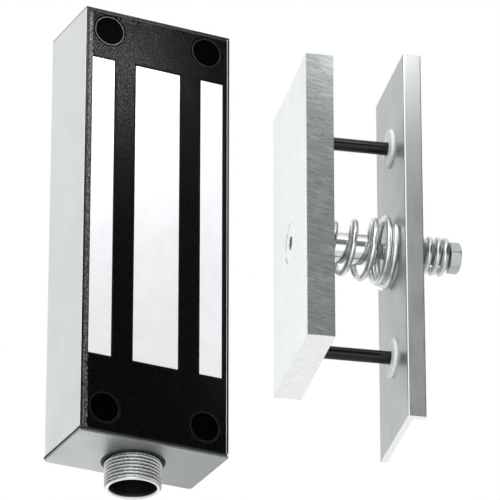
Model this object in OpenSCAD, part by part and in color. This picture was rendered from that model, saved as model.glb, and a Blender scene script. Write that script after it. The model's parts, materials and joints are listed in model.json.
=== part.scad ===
// Magnetic door lock: a potted electromagnet in a tall steel case with a threaded
// conduit nipple below, and a spring-mounted armature plate on its own bracket.
// Origin: centre of the case's flat back. +X right and -Y forward as seen from the
// magnet's face, +Z up. The armature side is drawn with the gate swung open.

/* [Magnet case] */
// Height of the case
case_h = 210; // [190:1:230]
// Width of the case
case_w = 72; // [70:1:90]
// Depth of the case, from its back to the pole faces
case_d = 39; // [38:1:50]
// Thickness of the folded sheet
sheet_t = 1.2; // [0.8:0.1:1.5]
// Thickness of each end cap
cap_t = 1.0; // [0.8:0.1:1.5]
// Thickness of the gasket between the case and each cap
gasket_t = 1.0; // [0.5:0.1:1.5]

/* [Magnet core] */
// Height of the laminated core
core_h = 147; // [120:1:150]
// Width of each outer leg
leg_w = 11; // [8:0.5:12]
// Width of each slot for the winding
slot_w = 10.5; // [8:0.5:11]
// Width of the centre leg
centre_w = 22; // [16:0.5:24]
// Depth of the winding slots
slot_d = 22; // [18:0.5:24]
// Depth of the whole core
core_d = 33; // [29:0.5:34]
// Height of the core's centre above the case's centre
core_z = 6.5; // [0:0.5:8]

/* [Mounting holes] */
// Distance between the left and right mounting holes
hole_pitch_x = 48.6; // [47:0.1:50]
// Distance from the case's top to the upper holes
hole_top = 10.2; // [9:0.1:12]
// Distance from the case's bottom to the lower holes
hole_bottom = 13; // [12:0.5:15]
// Diameter of each screw hole in the back
screw_hole_dia = 6.6; // [5:0.1:8]
// Diameter of each access well, which a plug closes
well_dia = 13.4; // [13:0.1:15]

/* [Conduit nipple] */
// Outside diameter of the conduit thread
nipple_dia = 26; // [24:0.5:27]
// Bore of the nipple
nipple_bore = 20.8; // [18:0.2:21]
// Length of thread below the case
nipple_len = 13; // [10:1:20]
// Distance from the case's back to the nipple's axis
nipple_y = 16.5; // [16.5:0.5:18]

/* [Armature plate] */
// Height of the armature plate
plate_h = 140; // [120:1:150]
// Width of the armature plate
plate_w = 70; // [60:1:80]
// Thickness of the armature plate
plate_t = 12.7; // [10:0.1:16]
// Height of the armature plate's centre above its screw
plate_rise = 9; // [0:0.5:9]
// Diameter of the flat-head screw's head
screw_head_dia = 19; // [16:0.5:20]
// Diameter of the flat-head screw's shank
screw_dia = 9.5; // [8:0.5:10]

/* [Bracket] */
// Gap between the armature plate and the bracket
gap = 34.5; // [30:0.5:40]
// Height of the angle bracket
bracket_h = 180; // [150:1:200]
// Width of the bracket's web
web_w = 53; // [45:1:60]
// Thickness of the bracket
bracket_t = 3; // [2:0.5:4]
// Depth of the bracket's flange
flange_d = 8.4; // [6:0.2:12]
// Distance of the bracket's centre below the bolt
bracket_drop = 2; // [0:0.5:4]

/* [Guides and springs] */
// Height of each guide pin above or below the bolt
pin_z = 52.5; // [40:0.5:60]
// Diameter of each guide pin
pin_dia = 6; // [5:0.5:8]
// Diameter of each bushing's flange
bush_flange_dia = 18; // [14:0.5:20]
// Diameter of the post behind the plate
post_dia = 14.5; // [12:0.5:15]
// Diameter of the hex bolt's shank
bolt_dia = 7.9; // [6:0.1:9]
// Distance from the bracket's back to the hex bolt's head
bolt_reach = 23; // [22:1:26]
// Outside diameter of the conical spring at the bracket
cone_big_dia = 36; // [30:1:38]
// Outside diameter of the conical spring at the plate
cone_small_dia = 21.5; // [21.5:0.5:24]
// Wire diameter of the conical spring
cone_wire = 3; // [2.5:0.1:3]
// Outside diameter of the spring behind the bracket
back_dia = 18; // [16:0.5:20]
// Wire diameter of the spring behind the bracket
back_wire = 3; // [2:0.1:3.2]

/* [Gate] */
// Height of the armature's bolt above the case's centre
bolt_z = 2; // [-4:0.5:8]
// Angle by which the gate stands open
open_angle = 76; // [0:1:90]
// Distance of the gate's hinge axis from the middle of the case
hinge_x = 36.3; // [36.3:0.1:40]
// Distance of the gate's hinge axis from the case's back
hinge_y = 6.3; // [6.3:0.1:10]
// Distance by which the closed armature plate stands to the right of the case's middle
closed_x = 2; // [0:0.1:2.5]
// Distance by which the magnet can draw the armature plate out on its springs
draw_out = 2; // [1:0.1:3]
// Air gap between the poles and the armature plate once it is drawn out
air_gap = 0.3; // [0.3:0.1:1]

/* [Hidden] */
$fn = 64;

shell_h = case_h - 2 * (cap_t + gasket_t);
core_w = centre_w + 2 * slot_w + 2 * leg_w;
hole_x = hole_pitch_x / 2;
top_hole_z = case_h / 2 - hole_top;
bottom_hole_z = -case_h / 2 + hole_bottom;
sleeve_wall = 0.6;                  // wall of a mounting sleeve's well
sleeve_floor = 3;                   // thickness behind the screw's head
potting_drop = 0.15;                // the potting lies this far below the pole faces
bobbin_t = 1;
coil_t = 8.3;                       // build-up of the winding
coil_drop = 2.5;                    // the winding lies this far below the pole faces
coil_depth = 18;
collar_dia = 30;                    // the nipple's shoulder inside the bottom cap
collar_t = 2.5;
seal_gap = 1.3;                     // gap round the thread in the bottom cap's hole
neck_dia = nipple_dia - 1;          // the nipple's neck, between its thread and its shoulder
chamber_w = 31;                     // wiring chamber below the winding
chamber_h = 22;
chamber_front = 31;                 // distance from the back to the chamber's front wall
chamber_z = -case_h / 2 + cap_t + collar_t + 0.2;
board_y = 6;                        // distance from the back to the splice board
board_t = 1.6;

bracket_x = plate_t + gap;          // the bracket's front, in the armature's frame
bracket_back = bracket_x + bracket_t;
post_end = bracket_x - 8;           // the shoulder that limits the inward travel
bush_flange_t = 1.5;
bush_dia = 10;
bush_tail = 4;                      // length of a bushing behind the bracket
bush_tail_dia = bush_dia - 0.4;
spring_seat_dia = back_dia + 1.4;   // shallow seat for the spring in the bracket's back
spring_seat_t = 0.3;
pin_press = 8;                      // depth of a guide pin in the plate
pin_tail = 7;                       // length of a guide pin behind the bracket
running_gap = 0.05;                 // radial clearance of a guide pin
head_af = 12.7;                     // hex bolt's head across its flats
head_t = 5.3;
seat_gap = 0.1;                     // keeps a spring's end coils off their seats

// ---- shapes that repeat ----

// A box given by its x, y and z ranges
module span(x, y, z) {
  translate([x[0], y[0], z[0]]) cube([x[1] - x[0], y[1] - y[0], z[1] - z[0]]);
}

// A cylinder from front (y0) to back (y1)
module drill(dia, y0, y1) {
  translate([0, y1, 0]) rotate([90, 0, 0]) cylinder(d = dia, h = y1 - y0);
}

// A cylinder along +X from x0 to x1
module rod(dia, x0, x1) {
  translate([x0, 0, 0]) rotate([0, 90, 0]) cylinder(d = dia, h = x1 - x0);
}

// A rounded rectangle made from squares and circles
module rounded(w, h, r) {
  square([w - 2 * r, h], center = true);
  square([w, h - 2 * r], center = true);
  for (x = [-1, 1], z = [-1, 1]) translate([x * (w / 2 - r), z * (h / 2 - r)]) circle(r = r);
}

// An outline in x and z, extruded from front (y0) to back (y1)
module facing(y0, y1) {
  translate([0, y1, 0]) rotate([90, 0, 0]) linear_extrude(y1 - y0) children();
}

module at_holes() {
  for (x = [-hole_x, hole_x], z = [top_hole_z, bottom_hole_z]) translate([x, 0, z]) children();
}

// The armature side is drawn about its bolt: +X runs from the plate's face to the
// bracket, and -Y is the side of the bracket's flange.
module armature_side() {
  translate([hinge_x, -hinge_y, 0])
    rotate([0, 0, open_angle])
      translate([closed_x - hinge_x, hinge_y - case_d - air_gap - draw_out, bolt_z])
        rotate([0, 0, -90]) children();
}

// ---- wire springs ----

ring_sides = 8;
ring_steps = 18;                    // rings in each turn

// Distance along the axis after s of n turns. Shape holds the closed turns at the start, the
// turns over which the pitch falls, and the closed turns at the end, whose pitch is the last item.
function lift(s, n, len, shape) =
  let (
    a = shape[0], e = shape[1], b = shape[2], low = shape[3],
    p = (len - (a + b + e / 2) * low) / (n - a - b - e / 2),
    u = s - (n - b - e)
  )
  s < a ? s * low :
  s > n - b ? len - (n - s) * low :
  u <= 0 ? a * low + (s - a) * p : a * low + (s - a) * p - (p - low) * u * u / (2 * e);

// Left-hand coil along +X from x0: n turns, mean radius r0 to r1, wire centres len apart
module coil(x0, len, r0, r1, n, wire, shape, start) {
  rings = floor(n * ring_steps);
  points = [
    for (i = [0:rings]) let (
      s = n * i / rings,
      x = lift(s, n, len, shape),
      r = r0 + (r1 - r0) * s / n,
      a = start - 360 * s
    ) for (k = [0:ring_sides - 1]) let (
      b = 360 * k / ring_sides,
      q = r + wire / 2 * cos(b)
    ) [x0 + x + wire / 2 * sin(b), -q * sin(a), q * cos(a)]
  ];
  sides = [
    for (i = [0:rings - 1], k = [0:ring_sides - 1]) let (
      m = (k + 1) % ring_sides,
      p = i * ring_sides
    ) [p + k, p + ring_sides + k, p + ring_sides + m, p + m]
  ];
  first = [for (k = [0:ring_sides - 1]) k];
  last = [for (k = [ring_sides - 1:-1:0]) rings * ring_sides + k];
  polyhedron(points, concat(sides, [first, last]), convexity = 10);
}

// ---- magnet unit ----

module case_shell() {
  inside_w = case_w - 2 * sheet_t;
  color([0.83, 0.85, 0.85]) difference() {
    span([-case_w / 2, case_w / 2], [-case_d, 0], [-shell_h / 2, shell_h / 2 + gasket_t]);
    span([-inside_w / 2, inside_w / 2], [-case_d - 1, -sheet_t], [-shell_h, shell_h]);
    at_holes() drill(screw_hole_dia, -sheet_t - 1, 1);
  }
}

module cap_plate() {
  span([-case_w / 2, case_w / 2], [-case_d, 0], [0, cap_t]);
}

module top_cap() {
  color([0.80, 0.82, 0.82]) translate([0, 0, case_h / 2 - cap_t]) cap_plate();
}

module bottom_cap() {
  color([0.74, 0.77, 0.76]) difference() {
    translate([0, 0, -case_h / 2]) cap_plate();
    translate([0, -nipple_y, -case_h / 2 - 1])
      cylinder(d = nipple_dia + 2 * seal_gap, h = cap_t + 2);
  }
}

// A frame that follows the edges of the case, set in from its sides and back by inset
module cap_gasket(inset) {
  rim = 1.4;
  half = case_w / 2 - inset;
  color([0.03, 0.03, 0.03]) difference() {
    span([-half, half], [-case_d, -inset], [0, gasket_t]);
    span([-half + rim, half - rim], [-case_d + rim, -inset - rim], [-1, gasket_t + 1]);
  }
}

// The upper gasket lies inside the folded sheet, and only its front strip shows
module top_gasket() {
  translate([0, 0, shell_h / 2]) cap_gasket(sheet_t);
}

module bottom_gasket() {
  translate([0, 0, -shell_h / 2 - gasket_t]) cap_gasket(0);
}

// Space taken by the winding and its bobbin, as an outline in x and z
module winding_outline(grow) {
  reach = bobbin_t + coil_t + grow;
  rounded(centre_w + 2 * reach, core_h + 2 * reach, reach);
}

module wiring_chamber() {
  span([-chamber_w / 2, chamber_w / 2], [-chamber_front, -sheet_t - 0.8],
    [chamber_z, chamber_z + chamber_h]);
}

// Resin that fills the case round the core, the winding and the sleeves
module face_potting() {
  fill_w = case_w - 2 * sheet_t;
  well_r = well_dia / 2 + sleeve_wall;
  color([0.05, 0.05, 0.05]) difference() {
    span([-fill_w / 2, fill_w / 2], [-case_d + potting_drop, -sheet_t], [-shell_h / 2, shell_h / 2]);
    translate([0, 0, core_z]) {
      span([-core_w / 2, -core_w / 2 + leg_w], [-case_d - 1, -case_d + slot_d],
        [-core_h / 2, core_h / 2]);
      span([core_w / 2 - leg_w, core_w / 2], [-case_d - 1, -case_d + slot_d],
        [-core_h / 2, core_h / 2]);
      span([-centre_w / 2, centre_w / 2], [-case_d - 1, -case_d + slot_d],
        [-core_h / 2, core_h / 2]);
      span([-core_w / 2, core_w / 2], [-case_d + slot_d - 0.01, -case_d + core_d],
        [-core_h / 2, core_h / 2]);
      facing(-case_d + coil_drop, -case_d + slot_d) winding_outline(0);
    }
    at_holes() drill(2 * well_r, -case_d - 1, 1);
    wiring_chamber();
    translate([0, -nipple_y, -case_h / 2])
      cylinder(d = collar_dia + 0.2, h = chamber_z + case_h / 2 + 1);
    for (side = [-1, 1]) lead_drop(side);
  }
}

module laminated_core() {
  color([0.88, 0.88, 0.87]) translate([0, 0, core_z]) difference() {
    span([-core_w / 2, core_w / 2], [-case_d, -case_d + core_d], [-core_h / 2, core_h / 2]);
    for (side = [-1, 1]) translate([side * (centre_w + slot_w) / 2, 0, 0])
      span([-slot_w / 2, slot_w / 2], [-case_d - 1, -case_d + slot_d], [-core_h, core_h]);
  }
}

// A ring round the centre leg, from grow0 to grow1 outside it
module leg_ring(grow0, grow1, y0, y1) {
  translate([0, 0, core_z]) facing(y0, y1) difference() {
    rounded(centre_w + 2 * grow1, core_h + 2 * grow1, grow1);
    if (grow0 > 0) rounded(centre_w + 2 * grow0, core_h + 2 * grow0, grow0);
    else square([centre_w, core_h], center = true);
  }
}

module coil_winding() {
  color([0.72, 0.38, 0.20])
    leg_ring(bobbin_t, bobbin_t + coil_t, -case_d + coil_drop + 1, -case_d + coil_drop + coil_depth);
}

// A sleeve on the centre leg, with a flange behind the winding and one before it
module coil_bobbin() {
  front = -case_d + coil_drop;
  back = front + coil_depth;
  color([0.90, 0.88, 0.80]) {
    leg_ring(0, bobbin_t, front, back + 1);
    leg_ring(bobbin_t, bobbin_t + coil_t, front, front + 1);
    leg_ring(bobbin_t, bobbin_t + coil_t, back, back + 1);
  }
}

// A tube with a floor: the screw's head bears on the floor, and a plug closes the tube
module mounting_sleeve(x, z) {
  color([0.70, 0.71, 0.72]) translate([x, 0, z]) difference() {
    drill(well_dia + 2 * sleeve_wall, -case_d, -sheet_t);
    drill(well_dia, -case_d - 1, -sheet_t - sleeve_floor);
    drill(screw_hole_dia, -case_d, 1);
  }
}

module hole_plug(x, z) {
  plug_t = 5;
  plug_wall = 1.5;
  front = -case_d + 0.3;
  color([0.04, 0.04, 0.04]) translate([x, 0, z]) difference() {
    drill(well_dia - 0.1, front, front + plug_t);
    drill(well_dia - 2 * plug_wall, front + plug_wall, front + plug_t + 1);
  }
}

module conduit_nipple() {
  tip = 0.8;
  color([0.78, 0.79, 0.78]) translate([0, -nipple_y, -case_h / 2]) difference() {
    union() {
      translate([0, 0, tip - nipple_len]) cylinder(d = nipple_dia, h = nipple_len - tip);
      translate([0, 0, -nipple_len]) cylinder(d1 = nipple_dia - 2 * tip, d2 = nipple_dia, h = tip);
      cylinder(d = neck_dia, h = cap_t);
      translate([0, 0, cap_t]) cylinder(d = collar_dia, h = collar_t);
    }
    translate([0, 0, -nipple_len - 1]) cylinder(d = nipple_bore, h = nipple_len + cap_t + collar_t + 2);
  }
}

// Rubber ring in the bottom cap's hole
module conduit_seal() {
  color([0.03, 0.03, 0.03]) translate([0, -nipple_y, -case_h / 2]) difference() {
    cylinder(d = nipple_dia + 2 * seal_gap, h = cap_t);
    translate([0, 0, -1]) cylinder(d = neck_dia, h = cap_t + 2);
  }
}

// ---- inside the wiring chamber ----

board_w = 27;
board_h = 18;
board_z = chamber_z + 3;
lead_dia = 1.4;
lead_x = 6;
lead_y = -case_d + coil_drop + coil_depth - 2;
bend_z = board_z + board_h - 2;

module splice_board() {
  color([0.10, 0.35, 0.20])
    span([-board_w / 2, board_w / 2], [-board_y, -board_y + board_t], [board_z, board_z + board_h]);
}

module surge_varistor() {
  color([0.15, 0.25, 0.60]) translate([-8, 0, board_z + 6]) drill(9, -board_y - 3.5, -board_y);
}

module terminal_block() {
  block_w = 10;
  block_h = 7.5;
  color([0.12, 0.45, 0.22]) translate([6, -board_y, board_z + 3]) difference() {
    span([-block_w / 2, block_w / 2], [-8, 0], [0, block_h]);
    for (x = [-block_w / 4, block_w / 4]) translate([x, 0, -1]) {
      translate([0, -4, 0]) cylinder(d = 2.6, h = 5);
    }
  }
}

// The stretch of a winding's end that goes down out of the winding
module lead_drop(side) {
  top_z = core_z - core_h / 2 - bobbin_t - coil_t;
  translate([side * lead_x, lead_y, bend_z]) cylinder(d = lead_dia, h = top_z - bend_z);
}

// Winding end: down out of the winding, then back to the splice board
module coil_lead(side) {
  color([0.75, 0.25, 0.10]) {
    lead_drop(side);
    translate([side * lead_x, lead_y, bend_z]) sphere(d = lead_dia);
    translate([side * lead_x, 0, bend_z]) drill(lead_dia, lead_y, -board_y);
  }
}

// ---- armature unit, about its bolt ----

module armature_bracket() {
  near = -web_w / 2;
  bend_r = 0.8;
  color([0.62, 0.65, 0.64]) armature_side() difference() {
    translate([0, 0, -bracket_h / 2 - bracket_drop]) linear_extrude(bracket_h) {
      translate([bracket_x, near + bend_r]) square([bracket_t, web_w - bend_r]);
      translate([bracket_x + bend_r, near]) square([flange_d - bend_r, bracket_t]);
      translate([bracket_x + bend_r, near + bend_r]) circle(r = bend_r);
    }
    rod(bolt_dia + 1, bracket_x - 1, bracket_back + 1);
    rod(spring_seat_dia, bracket_back - spring_seat_t, bracket_back + 1);
    for (z = [-pin_z, pin_z]) translate([0, 0, z]) rod(bush_dia, bracket_x - 1, bracket_back + 1);
  }
}

module guide_bushing(z) {
  color([0.93, 0.94, 0.93]) armature_side() translate([0, 0, z]) difference() {
    union() {
      rod(bush_flange_dia, bracket_x - bush_flange_t, bracket_x);
      rod(bush_dia, bracket_x, bracket_back);
      rod(bush_tail_dia, bracket_back, bracket_back + bush_tail);
    }
    rod(pin_dia + 2 * running_gap, bracket_x - bush_flange_t - 1, bracket_back + bush_tail + 1);
  }
}

module guide_pin(z) {
  end = bracket_back + pin_tail;
  tip = 0.6;
  color([0.03, 0.03, 0.03]) armature_side() translate([0, 0, z]) {
    rod(pin_dia, plate_t - pin_press, end - tip);
    translate([end - tip, 0, 0]) rotate([0, 90, 0])
      cylinder(d1 = pin_dia, d2 = pin_dia - 2 * tip, h = tip);
  }
}

head_depth = (screw_head_dia - screw_dia) / 2 * 1.15;   // 82 degree flat head

module flat_head() {
  rotate([0, 90, 0]) cylinder(d1 = screw_head_dia, d2 = screw_dia, h = head_depth);
}

module armature_plate() {
  color([0.62, 0.65, 0.64]) armature_side() difference() {
    span([0, plate_t], [-plate_w / 2, plate_w / 2],
      [plate_rise - plate_h / 2, plate_rise + plate_h / 2]);
    rod(screw_dia, -1, plate_t + 1);
    rod(screw_head_dia, -1, 0.3);
    translate([0.3, 0, 0]) flat_head();
    for (z = [-pin_z, pin_z]) translate([0, 0, z]) rod(pin_dia, plate_t - pin_press, plate_t + 1);
  }
}

module armature_screw() {
  socket_r = 3.3;
  color([0.92, 0.93, 0.93]) armature_side() difference() {
    union() {
      translate([0.3, 0, 0]) flat_head();
      rod(screw_dia, 0.3 + head_depth - 0.01, plate_t + 12);
    }
    translate([-1, 0, 0]) rotate([0, 90, 0]) cylinder(r = socket_r, h = 5, $fn = 6);
  }
}

module standoff_post() {
  thread_len = 11;
  color([0.88, 0.90, 0.90]) armature_side() difference() {
    rod(post_dia, plate_t, post_end);
    rod(screw_dia, plate_t - 1, plate_t + 12);
    rod(bolt_dia, post_end - thread_len, post_end + 1);
  }
}

module hex_bolt() {
  head_x = bracket_back + bolt_reach;
  color([0.70, 0.72, 0.72]) armature_side() {
    rod(bolt_dia, post_end - 11, head_x + 0.01);
    translate([head_x, 0, 0]) rotate([0, 90, 0]) rotate([0, 0, 30])
      cylinder(d = head_af / cos(30), h = head_t, $fn = 6);
  }
}

// Its closed turns nest a little, because each one is wider than the last
module conical_spring() {
  r_small = (cone_small_dia - cone_wire) / 2;
  r_big = (cone_big_dia - cone_wire) / 2;
  len = gap - cone_wire - 2 * seat_gap;
  color([0.90, 0.92, 0.92]) armature_side()
    coil(plate_t + cone_wire / 2 + seat_gap, len, r_small, r_big, 5, cone_wire,
      [0.75, 1, 1, 0.93 * cone_wire], 68);
}

module back_spring() {
  r = (back_dia - back_wire) / 2;
  seat_x = bracket_back - spring_seat_t;
  len = bolt_reach + spring_seat_t - back_wire - 2 * seat_gap;
  color([0.88, 0.90, 0.90]) armature_side()
    coil(seat_x + back_wire / 2 + seat_gap, len, r, r, 5.5, back_wire,
      [0.9, 0, 0.9, back_wire], 150);
}

case_shell();
top_cap();
bottom_cap();
top_gasket();
bottom_gasket();
face_potting();
laminated_core();
coil_winding();
coil_bobbin();
mounting_sleeve(-hole_x, top_hole_z);  // mounting_sleeve_top_left
mounting_sleeve(hole_x, top_hole_z);  // mounting_sleeve_top_right
mounting_sleeve(-hole_x, bottom_hole_z);  // mounting_sleeve_bottom_left
mounting_sleeve(hole_x, bottom_hole_z);  // mounting_sleeve_bottom_right
hole_plug(-hole_x, top_hole_z);  // hole_plug_top_left
hole_plug(hole_x, top_hole_z);  // hole_plug_top_right
hole_plug(-hole_x, bottom_hole_z);  // hole_plug_bottom_left
hole_plug(hole_x, bottom_hole_z);  // hole_plug_bottom_right
conduit_nipple();
conduit_seal();
splice_board();
surge_varistor();
terminal_block();
coil_lead(-1);  // coil_lead_left
coil_lead(1);  // coil_lead_right
armature_bracket();
guide_bushing(pin_z);  // guide_bushing_upper
guide_bushing(-pin_z);  // guide_bushing_lower
conical_spring();
back_spring();
armature_plate();
armature_screw();
standoff_post();
hex_bolt();
guide_pin(pin_z);  // guide_pin_upper
guide_pin(-pin_z);  // guide_pin_lower
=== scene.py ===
"""Magnetic door lock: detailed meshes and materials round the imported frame.

Shapes are worked out in millimetres in a local frame and turned into metres when the mesh is made.
The local X of a turned part is its axis.
"""
import json
import math

import bmesh
import bpy
import numpy as np
from mathutils import Matrix, Vector, geometry, noise


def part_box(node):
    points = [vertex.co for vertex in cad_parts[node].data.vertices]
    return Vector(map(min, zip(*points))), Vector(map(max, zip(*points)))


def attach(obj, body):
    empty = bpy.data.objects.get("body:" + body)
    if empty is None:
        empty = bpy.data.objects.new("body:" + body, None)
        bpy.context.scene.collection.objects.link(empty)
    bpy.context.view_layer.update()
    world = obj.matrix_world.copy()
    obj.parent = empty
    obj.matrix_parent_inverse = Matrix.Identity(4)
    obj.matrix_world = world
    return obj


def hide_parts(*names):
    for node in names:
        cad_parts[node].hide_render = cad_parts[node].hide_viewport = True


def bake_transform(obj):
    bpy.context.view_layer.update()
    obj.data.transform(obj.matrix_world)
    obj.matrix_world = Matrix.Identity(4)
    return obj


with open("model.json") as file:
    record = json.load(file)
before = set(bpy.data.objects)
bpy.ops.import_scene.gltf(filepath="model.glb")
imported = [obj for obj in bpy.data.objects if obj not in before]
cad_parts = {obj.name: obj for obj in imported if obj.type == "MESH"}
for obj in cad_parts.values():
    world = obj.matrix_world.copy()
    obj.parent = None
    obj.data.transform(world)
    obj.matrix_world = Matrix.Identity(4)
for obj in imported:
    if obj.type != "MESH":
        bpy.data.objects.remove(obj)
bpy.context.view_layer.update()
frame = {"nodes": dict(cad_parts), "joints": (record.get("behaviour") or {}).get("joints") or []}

MM = 0.001
TAU = 2 * math.pi
UP = Vector((0, 0, 1))
FORWARD = Vector((0, -1, 0))

# Sizes that the CAD design also has, in millimetres
SHEET_T = 1.2
BEND_R = 1.7
CORE_LEG = 11.0
CORE_SLOT = 10.5
CORE_SLOT_DEPTH = 22.0
WELL_R = 6.7
SLEEVE_R = 7.3
SLEEVE_FLOOR = 3.0
SCREW_HOLE_R = 3.3
PLUG_T = 5.0
PLUG_WALL = 1.5
NIPPLE_R = 13.0
THREAD_DEPTH = 0.85
THREAD_PITCH = 1.58
NIPPLE_BORE_R = 10.4
NECK_R = 12.5
COLLAR_R = 15.0
COLLAR_T = 2.5
CAP_HOLE_R = 14.3
PLATE_T = 12.7
PLATE_W = 70.0
PLATE_H = 140.0
PLATE_RISE = 9.0
SCREW_HEAD_R = 9.5
SCREW_R = 4.75
SCREW_SINK = 0.3
FLAT_HEAD_SLOPE = 1.15
FLAT_HEAD_END = SCREW_SINK + (SCREW_HEAD_R - SCREW_R) * FLAT_HEAD_SLOPE
SOCKET_R = 3.3
SOCKET_DEPTH = 3.7
POST_R = 7.25
BRACKET_X = 47.2
BRACKET_T = 3.0
BRACKET_HALF_W = 26.5
BRACKET_HALF_H = 90.0
BRACKET_DROP = 2.0
FLANGE_TIP_X = 55.6
BRACKET_BACK = BRACKET_X + BRACKET_T
POST_END = BRACKET_X - 8
PIN_R = 3.0
PIN_Z = 52.5
PIN_START = PLATE_T - 8
PIN_END = BRACKET_BACK + 7
BUSH_FLANGE_R = 9.0
BUSH_FLANGE_T = 1.5
BUSH_R = 5.0
BUSH_TAIL_R = 4.8
BUSH_BORE_R = 3.05
BOLT_R = 3.95
BOLT_HEAD_X = BRACKET_BACK + 23
HEAD_FLAT_R = 6.35
HEAD_T = 5.3
SPRING_SEAT_R = 9.7
SPRING_SEAT_T = 0.3

# Fineness of a spring's mesh
WIRE_SIDES = 20
STEPS_PER_TURN = 72


# ---- placements ----

def axes(x_axis, z_axis, origin):
    """A placement whose local X and Z run along the given directions."""
    x = Vector(x_axis).normalized()
    z = Vector(z_axis).normalized()
    place = Matrix((x, z.cross(x), z)).transposed().to_4x4()
    place.translation = origin
    return place


def box_mm(node):
    """A CAD node's lowest and highest corners in millimetres."""
    low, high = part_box(node)
    return low / MM, high / MM


def middle(node):
    """A CAD node's middle in metres."""
    low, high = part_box(node)
    return (low + high) / 2


HERE = Matrix.Identity(4)
slide = next(j for j in frame["joints"] if j["name"] == "armature_float")
to_bracket = -Vector(slide["axis"]).normalized()
ARM = axes(to_bracket, UP, middle("standoff_post") - to_bracket * (PLATE_T + POST_END) / 2 * MM)


# ---- shapes: each is (points, faces) in millimetres ----

def fillet(points, radii, steps=4, closed=True):
    """The outline with each corner rounded to its radius."""
    count = len(points)
    if not hasattr(radii, "__len__"):
        radii = [radii] * count
    result = []
    for i, (point, radius) in enumerate(zip(points, radii)):
        here = Vector(point)
        if radius == 0 or (not closed and i in (0, count - 1)):
            result.append(tuple(here))
            continue
        before = Vector(points[i - 1]) - here
        after = Vector(points[(i + 1) % count]) - here
        half = before.angle(after) / 2
        reach = min(radius / math.tan(half), 0.49 * before.length, 0.49 * after.length)
        radius = reach * math.tan(half)
        start = here + before.normalized() * reach
        end = here + after.normalized() * reach
        centre = here + (before.normalized() + after.normalized()).normalized() * radius / math.sin(half)
        turn = math.pi - 2 * half
        for k in range(steps + 1):
            s = k / steps
            spoke = (start - centre) * math.sin((1 - s) * turn) + (end - centre) * math.sin(s * turn)
            result.append(tuple(centre + spoke / math.sin(turn)))
    return result


def circle(radius, sides, middle_point=(0, 0)):
    """Points of a circle in a plane."""
    return [(middle_point[0] + radius * math.cos(TAU * i / sides),
             middle_point[1] + radius * math.sin(TAU * i / sides)) for i in range(sides)]


def divided(loop, step):
    """The points of a closed outline, with more between them about a step apart."""
    dense = []
    for a, b in zip(loop, loop[1:] + loop[:1]):
        a, b = Vector(a), Vector(b)
        count = max(1, round((b - a).length / step))
        dense += [a.lerp(b, k / count) for k in range(count)]
    return dense


def loft(rings, loop=False):
    """A skin over rings of equal length, with end caps unless it is a loop."""
    count = len(rings[0])
    points = [p for ring in rings for p in ring]
    faces = []
    for a in range(len(rings) if loop else len(rings) - 1):
        b = (a + 1) % len(rings)
        for i in range(count):
            j = (i + 1) % count
            faces.append((a * count + i, a * count + j, b * count + j, b * count + i))
    if not loop:
        faces.append(tuple(range(count)))
        faces.append(tuple((len(rings) - 1) * count + i for i in reversed(range(count))))
    return points, faces


def prism(outline, z0, z1):
    """An outline in x and y, extruded along z."""
    return loft([[(x, y, z) for x, y in outline] for z in (z0, z1)])


def turned(profile, sides=96, hollow=False):
    """A solid turned about X. A profile is a list of (x, radius); a radius may be a function of the angle.
    A hollow one is a closed loop, and any other starts and ends on the axis or with a flat end."""
    points, faces, rings = [], [], []
    for x, radius in profile:
        start = len(points)
        if radius == 0:
            points.append((x, 0, 0))
            rings.append([start] * sides)
            continue
        for i in range(sides):
            a = TAU * i / sides
            r = radius(a) if callable(radius) else radius
            points.append((x, r * math.cos(a), r * math.sin(a)))
        rings.append(list(range(start, start + sides)))
    for a, b in zip(rings, rings[1:] + rings[:1] if hollow else rings[1:]):
        for i in range(sides):
            j = (i + 1) % sides
            corners = dict.fromkeys((a[i], a[j], b[j], b[i]))
            if len(corners) > 2:
                faces.append(tuple(corners))
    if not hollow:
        for ring in (rings[0], rings[-1]):
            if len(set(ring)) > 2:
                faces.append(tuple(ring))
    return points, faces


def hexagon(flat_r, soft=0.0, first_flat=0.0):
    """Radius of a hexagon at an angle, with its corners cut to a circle of flat_r + soft if soft is given."""
    def radius(angle):
        off = (angle - first_flat + math.pi / 6) % (math.pi / 3) - math.pi / 6
        r = flat_r / math.cos(off)
        return min(r, flat_r + soft) if soft else r
    return radius


def rod(radius, x0, x1, sides=64):
    """A plain cylinder along X, to cut holes with."""
    return turned([(x0, radius), (x1, radius)], sides)


def moved(shape, offset):
    """A shape shifted by an offset."""
    return [tuple(Vector(p) + Vector(offset)) for p in shape[0]], shape[1]


def raw_mesh(name, shape):
    """A mesh in metres, with its faces turned outwards."""
    points, faces = shape
    mesh = bpy.data.meshes.new(name)
    mesh.from_pydata([tuple(c * MM for c in p) for p in points], [], faces)
    work = bmesh.new()
    work.from_mesh(mesh)
    bmesh.ops.recalc_face_normals(work, faces=work.faces)
    work.to_mesh(mesh)
    work.free()
    return mesh


def raw_object(name, shape, place=HERE):
    obj = bpy.data.objects.new(name, raw_mesh(name, shape))
    bpy.context.scene.collection.objects.link(obj)
    obj.matrix_world = place
    return obj


def bake(obj):
    """Turns an object's modifiers into its mesh."""
    graph = bpy.context.evaluated_depsgraph_get()
    mesh = bpy.data.meshes.new_from_object(obj.evaluated_get(graph))
    obj.modifiers.clear()
    obj.data = mesh
    obj.data.name = obj.name


def cut(obj, shapes):
    """Cuts shapes, given in the object's own frame, out of it."""
    for shape in shapes:
        tool = raw_object("cutter", shape, obj.matrix_world.copy())
        step = obj.modifiers.new("cut", "BOOLEAN")
        step.operation = "DIFFERENCE"
        step.solver = "EXACT"
        step.object = tool
        bake(obj)
        bpy.data.objects.remove(tool)


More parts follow.
